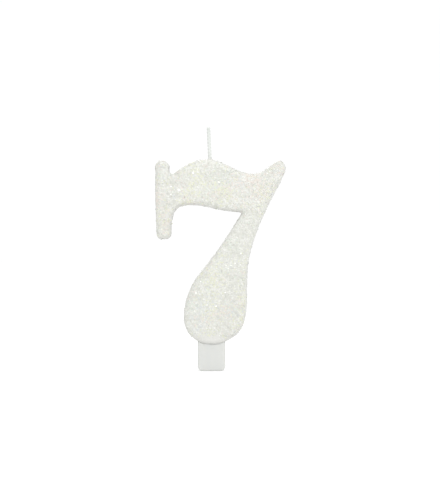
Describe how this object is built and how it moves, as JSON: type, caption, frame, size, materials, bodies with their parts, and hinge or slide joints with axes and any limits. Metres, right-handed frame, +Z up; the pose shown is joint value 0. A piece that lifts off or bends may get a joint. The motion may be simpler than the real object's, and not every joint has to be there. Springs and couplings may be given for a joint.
{
  "type": "number birthday candle",
  "caption": "Glitter-coated moulded wax figure seven with a cotton wick on its arm and a smooth foot peg that pushes into a cake.",
  "frame": {"origin": "centre of the flat end of the foot peg", "axes": "+Z up along the figure's height, X across the figure as it is read, Y through its depth; the front faces -Y"},
  "size_m": [0.0495, 0.01, 0.092],
  "materials": {
    "glitter": "pearl-white glitter lacquer",
    "wax": "moulded paraffin wax, satin",
    "peg": "smooth, slightly translucent, satin",
    "wick": "plaited waxed cotton"
  },
  "bodies": {
    "candle": {"glitter_coat": "glitter", "wax_body": "wax", "foot_peg": "peg", "wick_core": "wick"},
    "wick": {"wick_tip": "wick"}
  },
  "joints": [
    {"name": "wick_bend", "type": "hinge", "parent": "candle", "child": "wick", "pos_m": [-0.00055, 0, 0.081], "axis": [0, 1, 0], "range_deg": [-75, 75]}
  ]
}
